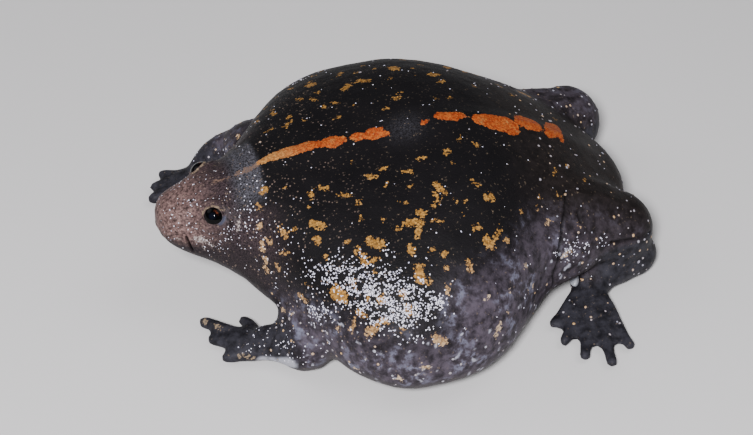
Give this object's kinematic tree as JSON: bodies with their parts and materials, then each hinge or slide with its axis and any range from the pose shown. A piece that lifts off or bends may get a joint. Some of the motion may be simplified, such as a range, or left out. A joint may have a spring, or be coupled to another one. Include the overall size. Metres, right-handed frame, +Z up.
{
  "type": "mexican burrowing toad",
  "caption": "Life-size burrowing toad at rest: a puffed-up round body, a small pointed head, short folded limbs, and a digging spade on each hind foot.",
  "frame": {"origin": "on the floor, under the middle of the flat belly", "axes": "+X towards the snout, +Y to the toad's left, +Z up"},
  "size_m": [0.0812, 0.0795, 0.0294],
  "materials": {
    "body_skin": "wet, finely granular, near black, with an orange stripe and spots",
    "snout_skin": "wet and smooth, pinkish brown",
    "hand_skin": "wet, bluish black",
    "eye": "glossy black",
    "spade": "smooth pale horn"
  },
  "bodies": {
    "root": {"head": "snout_skin", "torso": "body_skin", "left_foreleg": "body_skin", "left_hand": "hand_skin", "left_hind_leg": "body_skin", "left_foot": "hand_skin", "left_spade": "spade", "left_eye": "eye", "right_foreleg": "body_skin", "right_hand": "hand_skin", "right_hind_leg": "body_skin", "right_foot": "hand_skin", "right_spade": "spade", "right_eye": "eye"}
  },
  "joints": []
}
